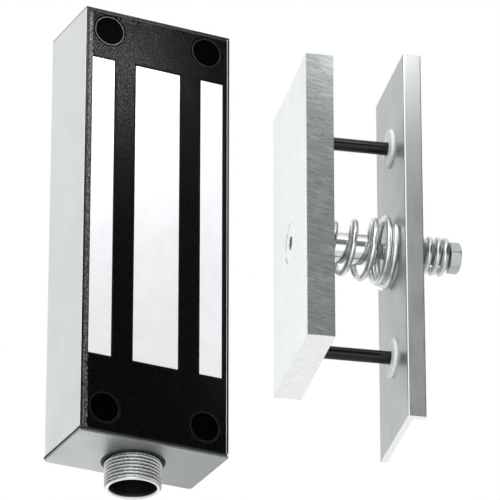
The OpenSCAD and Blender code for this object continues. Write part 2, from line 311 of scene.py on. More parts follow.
def soften(obj, width):
    """Rounds the sharp edges to a width in millimetres, and keeps flat faces flat in the shading."""
    if width:
        step = obj.modifiers.new("edges", "BEVEL")
        step.width = width * MM
        step.segments = 3
        step.limit_method = "ANGLE"
        step.angle_limit = math.radians(30)
        step.use_clamp_overlap = True
        step.miter_outer = "MITER_ARC"
        bake(obj)
    for face in obj.data.polygons:
        face.use_smooth = True
    step = obj.modifiers.new("normals", "WEIGHTED_NORMAL")
    step.weight = 80
    step.keep_sharp = True
    bake(obj)


def piece(name, shape, body, materials, stands_for, place=HERE, edge=0.0, cuts=()):
    """Makes one finished piece, which stands for a CAD node, and puts it on its body."""
    obj = raw_object(name, shape, place)
    cut(obj, cuts)
    soften(obj, edge)
    obj.data.materials.clear()
    for material in materials if isinstance(materials, list) else [materials]:
        obj.data.materials.append(material)
    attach(obj, body)
    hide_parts(stands_for)
    return obj


def paint(obj, index, test):
    """Gives the faces that pass a test, on their centre in millimetres and normal, another material."""
    for face in obj.data.polygons:
        if test(face.center / MM, face.normal):
            face.material_index = index


# ---- materials ----

def look(name, base, roughness, metallic=0.0, **sockets):
    """A new material: its node tree and its shader."""
    material = bpy.data.materials.new(name)
    material.use_nodes = True
    shader = material.node_tree.nodes["Principled BSDF"]
    shader.inputs["Base Color"].default_value = (*base, 1)
    shader.inputs["Roughness"].default_value = roughness
    shader.inputs["Metallic"].default_value = metallic
    for key, value in sockets.items():
        shader.inputs[key.replace("_", " ")].default_value = value
    return material, material.node_tree, shader


def node(tree, kind, inputs=(), **settings):
    """Adds a node; inputs maps its sockets to values or to other nodes' outputs."""
    made = tree.nodes.new("ShaderNode" + kind)
    for key, value in settings.items():
        setattr(made, key, value)
    for key, value in dict(inputs).items():
        if isinstance(value, bpy.types.NodeSocket):
            tree.links.new(value, made.inputs[key])
        else:
            made.inputs[key].default_value = value
    return made


def place_of(tree, stretch=(1, 1, 1)):
    """The point in the piece's own frame, stretched."""
    spot = node(tree, "TexCoord").outputs["Object"]
    return node(tree, "Mapping", {"Vector": spot, "Scale": stretch}).outputs["Vector"]


def round_place(tree):
    """The point as (distance along X, distance from the axis), for marks left by turning."""
    spot = node(tree, "SeparateXYZ", {0: node(tree, "TexCoord").outputs["Object"]})
    flat = node(tree, "CombineXYZ", {0: spot.outputs[1], 1: spot.outputs[2]})
    distance = node(tree, "VectorMath", {0: flat.outputs[0]}, operation="LENGTH").outputs["Value"]
    return node(tree, "CombineXYZ", {0: spot.outputs[0], 1: distance}).outputs[0]


def grain(tree, spot, size, detail=3.0, rough=0.55):
    """Noise whose features are about size millimetres wide."""
    inputs = {"Vector": spot, "Scale": 1 / (size * MM), "Detail": detail, "Roughness": rough}
    return node(tree, "TexNoise", inputs).outputs["Fac"]


def stripes(tree, width, direction, distortion=0.0):
    """Even bands, each width millimetres wide."""
    inputs = {"Vector": place_of(tree), "Scale": 1 / (6.28 * width * MM), "Distortion": distortion}
    return node(tree, "TexWave", inputs, bands_direction=direction).outputs["Fac"]


def spread(tree, value, low, high, start=0.3, end=0.7):
    """Maps noise from start to end onto low to high."""
    inputs = {0: value, 1: start, 2: end, 3: low, 4: high}
    return node(tree, "MapRange", inputs).outputs[0]


def relief(tree, shader, *layers):
    """Bump from (height, depth in millimetres) layers."""
    normal = None
    for height, depth in layers:
        inputs = {"Height": height, "Distance": depth * MM, "Strength": 1.0}
        if normal:
            inputs["Normal"] = normal
        normal = node(tree, "Bump", inputs).outputs["Normal"]
    tree.links.new(normal, shader.inputs["Normal"])


def coat(tree, shader, share, first, second):
    """Gives the base colour a mix of two colours."""
    mix = node(tree, "Mix", {0: share, 6: (*first, 1), 7: (*second, 1)}, data_type="RGBA")
    tree.links.new(mix.outputs[2], shader.inputs["Base Color"])


def tone(tree, shader, share, base, change):
    """Varies the base colour between two shades of it."""
    dark = [c * (1 - change) for c in base]
    light = [min(1.0, c * (1 + change)) for c in base]
    coat(tree, shader, share, dark, light)


def gloss(tree, shader, value):
    tree.links.new(value, shader.inputs["Roughness"])


def brushed(name, base, roughness, stretch, width=0.35, depth=0.004, change=0.03):
    """Sheet or plate with fine parallel lines; stretch is small along the lines."""
    material, tree, shader = look(name, base, roughness, 1.0)
    lines = grain(tree, place_of(tree, stretch), width)
    cloud = grain(tree, place_of(tree), 14.0, 2.0)
    tone(tree, shader, spread(tree, lines, 0.0, 1.0), base, change)
    both = node(tree, "Math", {0: spread(tree, lines, -0.04, 0.04), 1: spread(tree, cloud, -0.03, 0.03)})
    total = node(tree, "Math", {0: both.outputs[0], 1: roughness})
    gloss(tree, shader, total.outputs[0])
    relief(tree, shader, (lines, depth))
    return material


def lathed(name, base, roughness, width=0.25, depth=0.002, change=0.03):
    """Turned metal with fine rings."""
    material, tree, shader = look(name, base, roughness, 1.0)
    rings = grain(tree, round_place(tree), width, 2.0)
    cloud = grain(tree, place_of(tree), 5.0, 2.0)
    tone(tree, shader, cloud, base, change)
    gloss(tree, shader, spread(tree, rings, roughness * 0.8, roughness * 1.25))
    relief(tree, shader, (rings, depth))
    return material


def moulded(name, base, roughness, size=0.5, depth=0.004, change=0.08, **sockets):
    """Plastic, rubber or paint with a fine skin."""
    material, tree, shader = look(name, base, roughness, **sockets)
    skin = grain(tree, place_of(tree), size)
    cloud = grain(tree, place_of(tree), 8.0, 2.0)
    tone(tree, shader, cloud, base, change)
    gloss(tree, shader, spread(tree, skin, roughness * 0.88, roughness * 1.12))
    relief(tree, shader, (skin, depth))
    return material


def cast_resin():
    """Black resin: a dull, grainy surface with long low waves."""
    base = (0.0006, 0.0008, 0.0007)
    material, tree, shader = look("black_resin", base, 0.34, Specular_IOR_Level=0.1)
    spot = place_of(tree)
    grains = node(tree, "TexVoronoi", {"Vector": spot, "Scale": 1 / (0.9 * MM)}).outputs["Distance"]
    fine = grain(tree, spot, 0.9, 5.0, 0.9)
    patch = grain(tree, spot, 5.0, 3.0)
    tone(tree, shader, spread(tree, fine, 0.0, 1.0), base, 0.6)
    gloss(tree, shader, spread(tree, fine, 0.18, 0.65, 0.38, 0.62))
    relief(tree, shader, (patch, 0.06), (grains, 0.04), (fine, 0.05))
    return material


def resin_bead(name, first, last):
    """Rough overflow on the sheet and beside it, where the resin's filler shows as pale specks."""
    material, tree, shader = look(name, (0.02, 0.02, 0.02), 0.5, Specular_IOR_Level=0.3)
    spot = place_of(tree)
    specks = grain(tree, spot, 1.0, 5.0, 0.85)
    share = spread(tree, specks, 0.0, 1.0, first, last)
    coat(tree, shader, share, (0.002, 0.002, 0.002), (0.26, 0.28, 0.27))
    gloss(tree, shader, spread(tree, specks, 0.35, 0.6))
    relief(tree, shader, (specks, 0.12))
    return material


def ground_pole():
    """Surface-ground lamination stack: very fine sheet lines across, grinding marks along."""
    base = (0.92, 0.93, 0.95)
    material, tree, shader = look("ground_pole", base, 0.55, 0.15)
    sheets = stripes(tree, 0.5, "Z")
    marks = grain(tree, place_of(tree, (1, 1, 0.02)), 0.4, 3.0)
    cloud = grain(tree, place_of(tree), 12.0, 3.0)
    tone(tree, shader, spread(tree, cloud, 0.0, 1.0), base, 0.03)
    gloss(tree, shader, spread(tree, marks, 0.45, 0.62))
    relief(tree, shader, (sheets, 0.003), (marks, 0.004))
    return material


def milled_edge(name, base, depth, change):
    """Plate edge with slanting cutter marks across it."""
    material, tree, shader = look(name, base, 0.3, 1.0)
    spot = place_of(tree)
    turned_spot = node(tree, "Mapping", {"Vector": spot, "Rotation": (0, math.radians(-14), 0)}).outputs[0]
    stretched = node(tree, "Mapping", {"Vector": turned_spot, "Scale": (0.10, 1, 1)}).outputs[0]
    cuts = grain(tree, stretched, 1.1, 4.0, 0.6)
    fine = grain(tree, stretched, 0.35, 3.0)
    tone(tree, shader, spread(tree, cuts, 0.0, 1.0, 0.45, 0.68), base, change)
    gloss(tree, shader, spread(tree, fine, 0.24, 0.40))
    relief(tree, shader, (cuts, depth), (fine, depth / 6))
    return material


def zinc_thread():
    """Galvanised thread: crests pale from wear, with painted shade darkening the valleys and the bore, and
    grit.
    """
    base = (0.66, 0.69, 0.68)
    material, tree, shader = look("zinc_thread", base, 0.3, 1.0)
    spot = place_of(tree)
    distance = node(tree, "SeparateXYZ", {0: round_place(tree)}).outputs[1]
    grit = grain(tree, spot, 0.7, 3.0, 0.7)
    jitter = spread(tree, grit, -0.35 * MM, 0.35 * MM)
    uneven = node(tree, "Math", {0: distance, 1: jitter}).outputs[0]
    crest = spread(tree, uneven, 0.0, 1.0, (NIPPLE_R - THREAD_DEPTH) * MM,
                   (NIPPLE_R - 0.15) * MM)
    low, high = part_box("conduit_nipple")
    along = node(tree, "SeparateXYZ", {0: spot}).outputs[0]
    end = spread(tree, along, 0.0, 1.0, high.z - low.z - 1.1 * MM, high.z - low.z - 0.8 * MM)
    outside = spread(tree, distance, 0.0, 1.0, (NIPPLE_BORE_R + 0.1) * MM, (NIPPLE_BORE_R + 0.4) * MM)
    rim = node(tree, "Math", {0: end, 1: outside}, operation="MULTIPLY").outputs[0]
    wear_and_painted_shade = node(tree, "Math", {0: crest, 1: rim}, operation="MAXIMUM").outputs[0]
    # Painted shade: the dark colour fills the valleys and the bore; the pale one is the crests' wear and the
    # end face.
    coat(tree, shader, wear_and_painted_shade, (0.13, 0.14, 0.135), (0.88, 0.91, 0.90))
    gloss(tree, shader, spread(tree, grit, 0.26, 0.46))
    relief(tree, shader, (grit, 0.05))
    return material


def spring_wire(name, base, roughness):
    """Hard-drawn plated wire: faint lines along it, from its own map."""
    material, tree, shader = look(name, base, roughness, 1.0)
    along = node(tree, "TexCoord").outputs["UV"]
    drawn = node(tree, "Mapping", {"Vector": along, "Scale": (6.0, 40.0, 1.0)}).outputs[0]
    lines = node(tree, "TexNoise", {"Vector": drawn, "Scale": 3.0, "Detail": 3.0}).outputs["Fac"]
    cloud = grain(tree, place_of(tree), 3.0, 3.0)
    tone(tree, shader, cloud, base, 0.04)
    gloss(tree, shader, spread(tree, lines, roughness * 0.7, roughness * 1.4))
    relief(tree, shader, (lines, 0.004))
    return material


def wound_copper():
    """Enamelled wire, layer on layer round the leg."""
    base = (0.62, 0.26, 0.10)
    material, tree, shader = look("wound_copper", base, 0.3, 1.0, Coat_Weight=0.6)
    turns = stripes(tree, 0.6, "Y", 0.3)
    cloud = grain(tree, place_of(tree), 6.0)
    tone(tree, shader, cloud, base, 0.15)
    relief(tree, shader, (turns, 0.2))
    return material


LOOKS = {
    "case": brushed("brushed_case", (0.92, 0.95, 0.95), 0.38, (1, 1, 0.01)),
    # The bottom cap's colour is a darker copy of the top cap's: painted shade on the underside.
    "bottom_cap": brushed("satin_cap_painted_shade", (0.39, 0.41, 0.41), 0.44, (0.02, 1, 1), depth=0.002, change=0.02),
    "top_cap": brushed("satin_top_cap", (0.66, 0.69, 0.69), 0.44, (0.02, 1, 1), depth=0.002, change=0.02),
    "resin": cast_resin(),
    "bead": resin_bead("resin_bead", 0.47, 0.62),
    "smear": resin_bead("resin_smear", 0.55, 0.72),
    "pole": ground_pole(),
    "core_side": brushed("core_side", (0.30, 0.31, 0.31), 0.4, (1, 0.02, 1)),
    "rubber": moulded("black_rubber", (0.012, 0.012, 0.012), 0.62, 0.4, 0.02, 0.3),
    "plug": moulded("plug_plastic", (0.0006, 0.0006, 0.0006), 0.55, 0.3, 0.002, 0.2,
                    Specular_IOR_Level=0.01),
    "sleeve": lathed("sleeve_steel", (0.035, 0.037, 0.037), 0.35),
    "thread": zinc_thread(),
    "bracket": brushed("satin_bracket", (0.54, 0.57, 0.56), 0.40, (1, 1, 0.03), 0.5, 0.002, 0.02),
    # The bracket's end faces are a much lighter copy of its colour, painted light, with saw marks in the
    # grain.
    "bracket_end": brushed("bracket_painted_light_end", (0.95, 0.97, 0.97), 0.35, (1, 0.03, 1), 0.4, 0.004, 0.03),
    "plate_face": brushed("ground_plate", (0.93, 0.96, 0.97), 0.30, (1, 1, 0.02), 0.4, 0.003, 0.02),
    "plate_edge": milled_edge("milled_edge", (0.54, 0.58, 0.57), 0.02, 0.17),
    "nylon": moulded("white_nylon", (0.94, 0.95, 0.95), 0.42, 0.6, 0.003, 0.02, Subsurface_Weight=0.1,
                     Subsurface_Scale=0.001),
    "wire": spring_wire("bright_wire", (0.80, 0.83, 0.82), 0.24),
    "wire_back": spring_wire("bright_wire_back", (0.72, 0.75, 0.74), 0.26),
    "screw": lathed("bright_screw", (0.94, 0.95, 0.95), 0.22),
    "post": lathed("polished_post", (0.86, 0.88, 0.87), 0.17, depth=0.0008),
    "bolt": lathed("zinc_bolt", (0.52, 0.55, 0.54), 0.42, width=0.5, depth=0.01, change=0.08),
    "pin": moulded("black_pin", (0.003, 0.003, 0.003), 0.2, 0.5, 0.001, 0.2,
                   Specular_IOR_Level=0.35),
    # The socket is a darker copy of the screw's metal: painted shade in the recess.
    "socket": lathed("screw_socket_painted_shade", (0.30, 0.32, 0.32), 0.35),
    # The plate's ends get a much lighter copy of the milled edge colour: painted light.
    "plate_end_painted_light": milled_edge("milled_end_painted_light", (0.95, 0.97, 0.98), 0.02, 0.06),
    "copper": wound_copper(),
    "bobbin": moulded("bobbin_nylon", (0.80, 0.76, 0.62), 0.5, Subsurface_Weight=0.1,
                      Subsurface_Scale=0.001),
    "board": moulded("solder_mask", (0.02, 0.16, 0.07), 0.25, 0.8, 0.01, 0.25, Coat_Weight=0.4),
    "varistor": moulded("dipped_blue", (0.02, 0.07, 0.32), 0.35, 1.2, 0.03, 0.15),
    "block": moulded("block_green", (0.03, 0.24, 0.08), 0.45, 0.7, 0.006, 0.1),
}


# ---- magnet unit ----

def case_shell():
    """Folded sheet: two sides and the back, with the screw holes."""
    low, high = box_mm("case_shell")
    left, right, back = low.x + SHEET_T, high.x - SHEET_T, high.y - SHEET_T
    corners = [(low.x, low.y), (low.x, high.y), (high.x, high.y), (high.x, low.y),
               (right, low.y), (right, back), (left, back), (left, low.y)]
    inner_bend = BEND_R - SHEET_T
    outline = fillet(corners, [0, BEND_R, BEND_R, 0, 0, inner_bend, inner_bend, 0])
    points, faces = rod(SCREW_HOLE_R, -2, 2, 48)
    cuts = [([(x + p[1], p[0], z + p[2]) for p in points], faces) for x, z in hole_places()]
    shell = piece("folded_case", prism(outline, low.z, high.z), "magnet",
                  [LOOKS["case"], LOOKS["smear"]], "case_shell", edge=0.3, cuts=cuts)
    paint(shell, 1, lambda c, n: n.y < -0.9 and c.y < low.y + 0.1)


def hole_places():
    """Middle of each mounting hole in x and z."""
    names = [f"mounting_sleeve_{v}_{h}" for v in ("top", "bottom") for h in ("left", "right")]
    return [(middle(n).x / MM, middle(n).z / MM) for n in names]


def end_cap(name, node_name, hole=None):
    """Plate over an end of the case. The bottom one has a hole for the nipple, and the top one has resin
    smeared on its front edge."""
    low, high = box_mm(node_name)
    corners = [(low.x, low.y), (low.x, high.y), (high.x, high.y), (high.x, low.y)]
    outline = fillet(corners, [0.4, BEND_R, BEND_R, 0.4])
    cuts = []
    if hole:
        x, y = hole
        points, faces = turned([(low.z - 2, CAP_HOLE_R), (high.z + 2, CAP_HOLE_R)], 96)
        cuts = [([(x + p[1], y + p[2], p[0]) for p in points], faces)]
    cap = piece(name, prism(outline, low.z, high.z), "magnet",
                [LOOKS[node_name], LOOKS["smear"]], node_name, edge=0.18, cuts=cuts)
    if not hole:
        paint(cap, 1, lambda c, n: n.y < -0.6)


def cap_gasket(name, node_name, sides_show):
    """Rubber frame squeezed between the case and its cap, so its edge wanders a little where it shows."""
    low, high = box_mm(node_name)
    thick = high.z - low.z
    mid_z = (low.z + high.z) / 2
    width = 1.3
    corners = [(low.x, low.y), (high.x, low.y), (high.x, high.y), (low.x, high.y)]
    outline = fillet(corners, [0.6, BEND_R, BEND_R, 0.6], 5)
    dense = divided(outline, 0.8)
    rings = []
    for i, spot in enumerate(dense):
        along = (dense[(i + 1) % len(dense)] - dense[i - 1]).normalized()
        out = Vector((along.y, -along.x))
        squeeze = 0.16 * noise.noise(Vector((spot.x, spot.y, 3)) * 0.35)
        squeeze += 0.10 * noise.noise(Vector((spot.x, spot.y, 7)) * 1.3)
        front_left = max(0.0, 1 - (spot - Vector((low.x, low.y))).length / 5)
        swell = 0.05 + squeeze + 0.45 * front_left
        if not sides_show and out.y > -0.5:
            swell = -0.15
        section = [(-width, -0.5), (-0.15, -0.5), (swell * 0.7, -0.34), (swell, 0.0),
                   (swell * 0.7, 0.34), (-0.15, 0.5), (-width, 0.5)]
        rings.append([(spot.x + out.x * w, spot.y + out.y * w, mid_z + h * thick * 0.98) for w, h in section])
    piece(name, loft(rings, loop=True), "magnet", LOOKS["rubber"], node_name)


def pole_spans():
    """Left and right side of each pole."""
    low, high = box_mm("laminated_core")
    inner = CORE_LEG + CORE_SLOT
    return [(low.x, low.x + CORE_LEG), (low.x + inner, high.x - inner), (high.x - CORE_LEG, high.x)]


def laminated_core():
    """E-shaped stack with its three poles to the front."""
    low, high = box_mm("laminated_core")
    floor = low.y + CORE_SLOT_DEPTH
    outline = []
    for start, end in pole_spans():
        outline += [(start, floor), (start, low.y), (end, low.y), (end, floor)]
    outline = outline[1:-1] + [(high.x, high.y), (low.x, high.y)]
    core = piece("pole_stack", prism(outline, low.z, high.z), "magnet",
                 [LOOKS["core_side"], LOOKS["pole"]], "laminated_core", edge=0.2)
    paint(core, 1, lambda c, n: n.y < -0.7)


def inside(x, z, loop):
    """Whether a point lies in a closed outline."""
    found = False
    for (x0, z0), (x1, z1) in zip(loop, loop[1:] + loop[:1]):
        if (z0 > z) != (z1 > z) and x < x0 + (z - z0) / (z1 - z0) * (x1 - x0):
            found = not found
    return found


def resin_face():
    """Cast resin round the poles and the wells: a wavy surface that creeps up at every wall."""
    low, high = box_mm("face_potting")
    core_low, core_high = box_mm("laminated_core")
    rim = [(low.x, low.z), (high.x, low.z), (high.x, high.z), (low.x, high.z)]
    loops = [rim]
    loops += [[(a, core_low.z), (b, core_low.z), (b, core_high.z), (a, core_high.z)] for a, b in pole_spans()]
    loops += [circle(SLEEVE_R, 56, spot) for spot in hole_places()]
    step = 0.8
    points, edges, kept_loops = [], [], []
    for loop in loops:
        dense = divided(loop, step)
        start = len(points)
        points += dense
        edges += [(start + i, start + (i + 1) % len(dense)) for i in range(len(dense))]
        kept_loops.append([tuple(p) for p in dense])
    wall = np.array([tuple(p) for p in points])
    rng = np.random.default_rng(4)
    for x in np.arange(low.x + step, high.x - step / 2, step):
        for z in np.arange(low.z + step, high.z - step / 2, step):
            spot = np.array([x, z]) + rng.uniform(-0.25, 0.25, 2)
            if any(inside(*spot, loop) for loop in kept_loops[1:]):
                continue
            if np.min(np.abs(wall - spot).max(1)) < 0.45:
                continue
            points.append(Vector(spot))
    flat, _, triangles, *_ = geometry.delaunay_2d_cdt(points, edges, [], 0, 1e-5)

    def wanted(triangle):
        spot = sum((flat[i] for i in triangle), Vector((0, 0))) / 3
        return not any(inside(spot.x, spot.y, loop) for loop in kept_loops[1:])

    triangles = [t for t in triangles if wanted(t)]
    front = []
    for p in flat:
        away = np.min(np.hypot(*(wall - np.array(tuple(p))).T))
        wave = 0.05 * noise.noise(Vector((p.x, p.y, 0)) * 0.13)
        wave += 0.03 * noise.noise(Vector((p.x, p.y, 5)) * 0.6)
        creep = 0.10 * math.exp(-away / 0.5)
        ragged = 0.6 + 0.5 * noise.noise(Vector((p.x * 1.2, p.y * 0.5, 9)))
        bead = 0.16 * ragged * math.exp(-((p.x - low.x - 1.3) / 0.7) ** 2)
        front.append((p.x, low.y - wave * min(1, away) - creep - bead, p.y))
    back = [(p.x, low.y + 4, p.y) for p in flat]
    count = len(flat)
    faces = [tuple(t) for t in triangles] + [tuple(count + i for i in reversed(t)) for t in triangles]
    uses = {}
    for t in triangles:
        for a, b in zip(t, t[1:] + t[:1]):
            uses[frozenset((a, b))] = uses.get(frozenset((a, b)), 0) + 1
    for edge, times in uses.items():
        if times == 1:
            a, b = edge
            faces.append((a, b, count + b, count + a))
    resin = piece("cast_resin", (front + back, faces), "magnet", [LOOKS["resin"], LOOKS["bead"]],
                  "face_potting")

    def on_bead(c, n):
        return c.y < low.y + 1 and c.x < low.x + 2.2 + 0.5 * noise.noise(Vector((c.x, c.z, 0)) * 0.9)

    paint(resin, 1, on_bead)


def wells_and_plugs():
    """A steel sleeve at each mounting hole, and the plug that closes it."""
    front = -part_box("laminated_core")[0].y / MM
    back = SHEET_T
    for v in ("top", "bottom"):
        for h in ("left", "right"):
            node_name = f"mounting_sleeve_{v}_{h}"
            centre = middle(node_name)
            place = axes(FORWARD, UP, (centre.x, 0, centre.z))
            corners = [(back, SLEEVE_R), (front, SLEEVE_R), (front, WELL_R), (back + SLEEVE_FLOOR, WELL_R),
                       (back + SLEEVE_FLOOR, SCREW_HOLE_R), (back, SCREW_HOLE_R)]
            profile = fillet(corners, [0.1, 0.12, 0.12, 0.3, 0.15, 0.1], 3)
            piece(f"well_sleeve_{v}_{h}", turned(profile, 72, hollow=True), "magnet",
                  LOOKS["sleeve"], node_name, place)
            face = front - 0.3
            inner = WELL_R - 0.05 - PLUG_WALL
            cup = [(face - PLUG_T, inner), (face - PLUG_T, WELL_R - 0.05), (face - 0.12, WELL_R - 0.05),
                   (face, 4.5), (face + 0.08, 0)]
            outer = fillet(cup[1:], [0.3, 0.35, 3.0, 0], 4, closed=False)
            floor = face - PLUG_WALL
            corners = [(floor, 0), (floor, inner), (face - PLUG_T, inner)]
            hollow = fillet(corners, [0, 0.5, 0], 3, closed=False)
            piece(f"snap_plug_{v}_{h}", turned(hollow + outer, 72), "magnet", LOOKS["plug"],
                  f"hole_plug_{v}_{h}", place)


def threaded_rings(x0, x1, major, minor, pitch, rows, run_in=1.0, run_out=1.0, taper=0.0):
    """Profile rings of a helical thread from x0 to x1, to go into turned(). The thread fades over the run in
    and the run out, given in pitches."""
    rings = []
    for k in range(rows + 1):
        x = x0 + (x1 - x0) * k / rows

        def radius(angle, x=x):
            turn = ((x - x0) / pitch + angle / TAU) % 1.0
            ridge = min(1.0, max(0.0, (1 - abs(2 * turn - 1) - 0.10) / 0.72))
            fade = max(0.0, min(1.0, (x - x0) / (run_in * pitch), (x1 - x) / (run_out * pitch)))
            edge = major - taper * (x - x0) / (x1 - x0)
            return minor + (edge - minor) * ridge * fade
        rings.append((x, radius))
    return rings


def conduit_nipple():
    """Threaded hollow nipple, with its shoulder inside the bottom cap."""
    low, high = box_mm("conduit_nipple")
    cap_face = box_mm("bottom_cap")[0].z
    centre = middle("conduit_nipple")
    place = axes(-UP, FORWARD, (centre.x, centre.y, high.z * MM))
    length = high.z - low.z
    below = high.z - cap_face
    tip = length - 0.35
    minor = NIPPLE_R - THREAD_DEPTH
    bore_front = [(0, NIPPLE_BORE_R + 0.4), (0.15, NIPPLE_BORE_R + 0.15), (0.4, NIPPLE_BORE_R)]
    bore_back = [(length - 1.1, NIPPLE_BORE_R), (length - 0.55, NIPPLE_BORE_R + 0.35)]
    profile = [(0.25, COLLAR_R), (COLLAR_T, COLLAR_R), (COLLAR_T + 0.05, NECK_R), (below - 0.1, minor)]
    profile += threaded_rings(below, tip, NIPPLE_R, minor, THREAD_PITCH, 150, 0.9, 0.5, 0.25)
    profile += [(length - 0.15, minor - 0.25), (length, minor - 0.6), (length, NIPPLE_BORE_R + 0.85)]
    profile += [(length - 0.2, NIPPLE_BORE_R + 0.55)] + bore_back[::-1]
    groove = [(length - 3.0, NIPPLE_BORE_R), (length - 3.2, NIPPLE_BORE_R + 0.12),
              (length - 3.6, NIPPLE_BORE_R)]
    profile += groove + bore_front[::-1] + [(0, COLLAR_R - 0.25)]
    piece("threaded_nipple", turned(profile, 160, hollow=True), "magnet", LOOKS["thread"],
          "conduit_nipple", place)


def conduit_seal():
    """Black rubber ring that fills the cap's hole round the nipple and bulges below it."""
    low, high = box_mm("conduit_seal")
    centre = middle("conduit_seal")
    place = axes(-UP, FORWARD, (centre.x, centre.y, high.z * MM))
    thick = high.z - low.z
    crest_r = (NECK_R + CAP_HOLE_R) / 2
    corners = [(0, CAP_HOLE_R), (0, NECK_R), (thick + 0.05, NECK_R), (thick + 0.55, crest_r),
               (thick + 0.1, CAP_HOLE_R + 0.1), (thick, CAP_HOLE_R)]
    profile = fillet(corners, [0, 0, 0, 0.9, 0.2, 0], 5)
    piece("nipple_seal", turned(profile, 96, hollow=True), "magnet", LOOKS["rubber"],
          "conduit_seal", place)


# ---- armature unit, in the local frame ARM ----

def armature_plate():
    """Thick plate, sunk for the screw's head. Its face is ground and its edges are milled."""
    side = PLATE_W / 2
    sides = [(0, -side), (PLATE_T, -side), (PLATE_T, side), (0, side)]
    sink = [(-1, SCREW_HEAD_R), (SCREW_SINK, SCREW_HEAD_R), (FLAT_HEAD_END, SCREW_R), (PLATE_T + 1, SCREW_R)]
    plate = piece("ground_armature", prism(sides, PLATE_RISE - PLATE_H / 2, PLATE_RISE + PLATE_H / 2),
                  "armature", [LOOKS["plate_edge"], LOOKS["plate_face"], LOOKS["plate_end_painted_light"]],
                  "armature_plate", ARM, edge=0.35, cuts=[turned(sink, 96)])
    paint(plate, 1, lambda c, n: n.x < -0.7)
    # Painted light: the plate's end faces take the lighter copy of the milled colour.
    paint(plate, 2, lambda c, n: abs(n.z) > 0.8)


def armature_screw():
    """Flat-head screw with a hex socket."""
    flat = SOCKET_R * math.cos(math.pi / 6)
    face = SCREW_SINK
    end = PLATE_T + 12
    profile = [(face + SOCKET_DEPTH + 0.9, 0), (face + SOCKET_DEPTH, hexagon(flat)),
               (face + 0.35, hexagon(flat)), (face + 0.08, hexagon(flat + 0.25, 0.5)), (face, SOCKET_R + 0.9),
               (face, SCREW_HEAD_R - 0.35), (face + 0.05, SCREW_HEAD_R - 0.15),
               (face + 0.2, SCREW_HEAD_R - 0.08), (FLAT_HEAD_END, SCREW_R), (end - 0.5, SCREW_R),
               (end, SCREW_R - 0.5), (end, 0)]
    screw = piece("flat_head_screw", turned(profile), "armature",
                  [LOOKS["screw"], LOOKS["socket"]], "armature_screw", ARM)
    # Painted shade: the socket's faces inside the head take the darker copy.
    paint(screw, 1, lambda c, n: math.hypot(c.y, c.z) < SOCKET_R and 0.2 < c.x < SOCKET_DEPTH + 1.3)


def standoff_post():
    """Polished post on the screw, with the bolt in its far end."""
    corners = [(PLATE_T, SCREW_R), (PLATE_T, POST_R), (POST_END, POST_R), (POST_END, BOLT_R),
               (POST_END - 11, BOLT_R), (POST_END - 11.5, SCREW_R)]
    profile = fillet(corners, [0, 0.25, 0.6, 0.3, 0, 0], 4)
    piece("polished_post", turned(profile, 128, hollow=True), "armature", LOOKS["post"],
          "standoff_post", ARM)


def hex_bolt():
    """Bolt whose shank slides through the bracket, with a chamfered head."""
    start = POST_END - 11
    crown = HEAD_FLAT_R * 0.96
    tilt = math.tan(math.radians(30))
    flat = hexagon(HEAD_FLAT_R, 0.75, math.pi / 6)
    profile = [(start, 0), (start, BOLT_R - 0.6), (start + 0.5, BOLT_R - 0.05)]
    profile += threaded_rings(start + 1, BRACKET_X - 4, BOLT_R, BOLT_R - 0.55, 1.4, 120)
    profile += [(BRACKET_X - 3.5, BOLT_R), (BOLT_HEAD_X - 0.4, BOLT_R), (BOLT_HEAD_X, BOLT_R + 0.4)]
    profile += [(BOLT_HEAD_X, HEAD_FLAT_R - 0.5), (BOLT_HEAD_X + 0.25, HEAD_FLAT_R - 0.3)]
    end = BOLT_HEAD_X + HEAD_T
    for depth in (HEAD_T - 0.35, HEAD_T - 0.9, 2.0, 1.4, 1.0, 0.75, 0.5, 0.3, 0.15):
        profile.append((end - depth, lambda a, depth=depth: min(flat(a), crown + depth / tilt)))
    profile += [(end - 0.04, crown - 0.05), (end, crown - 0.35), (end, 0)]
    piece("hex_bolt_head", turned(profile, 120), "armature", LOOKS["bolt"], "hex_bolt", ARM)


def guide_pins():
    """Two black pins, fixed in the plate, that slide in the bushings."""
    for name, z in (("upper", PIN_Z), ("lower", -PIN_Z)):
        corners = [(PIN_START, 0), (PIN_START, PIN_R), (PIN_END, PIN_R), (PIN_END, 0)]
        profile = fillet(corners, [0, 0.3, 0.7, 0], 5, closed=False)
        place = ARM @ Matrix.Translation((0, 0, z * MM))
        piece(f"black_pin_{name}", turned(profile, 64), "armature", LOOKS["pin"],
              f"guide_pin_{name}", place)


def armature_bracket():
    """Angle bracket: a tall web with a short flange on the near side."""
    near, far = -BRACKET_HALF_W, BRACKET_HALF_W
    corners = [(BRACKET_X, far), (BRACKET_X, near), (FLANGE_TIP_X, near), (FLANGE_TIP_X, near + BRACKET_T),
               (BRACKET_BACK, near + BRACKET_T), (BRACKET_BACK, far)]
    outline = fillet(corners, [0, 0.8, 0.5, 0.5, 0.6, 0], 5)
    bottom, top = -BRACKET_HALF_H - BRACKET_DROP, BRACKET_HALF_H - BRACKET_DROP
    cuts = [rod(BOLT_R + 0.5, BRACKET_X - 1, BRACKET_BACK + 1),
            rod(SPRING_SEAT_R, BRACKET_BACK - SPRING_SEAT_T, BRACKET_BACK + 1)]
    cuts += [moved(rod(BUSH_R, BRACKET_X - 1, BRACKET_BACK + 1), (0, 0, z)) for z in (-PIN_Z, PIN_Z)]
    bracket = piece("angle_bracket", prism(outline, bottom, top), "bracket",
                    [LOOKS["bracket"], LOOKS["bracket_end"]], "armature_bracket", ARM, edge=0.3, cuts=cuts)
    # Painted light: the end faces take the lighter copy of the bracket's colour.
    paint(bracket, 1, lambda c, n: abs(n.z) > 0.8 and not bottom + 0.1 < c.z < top - 0.1)


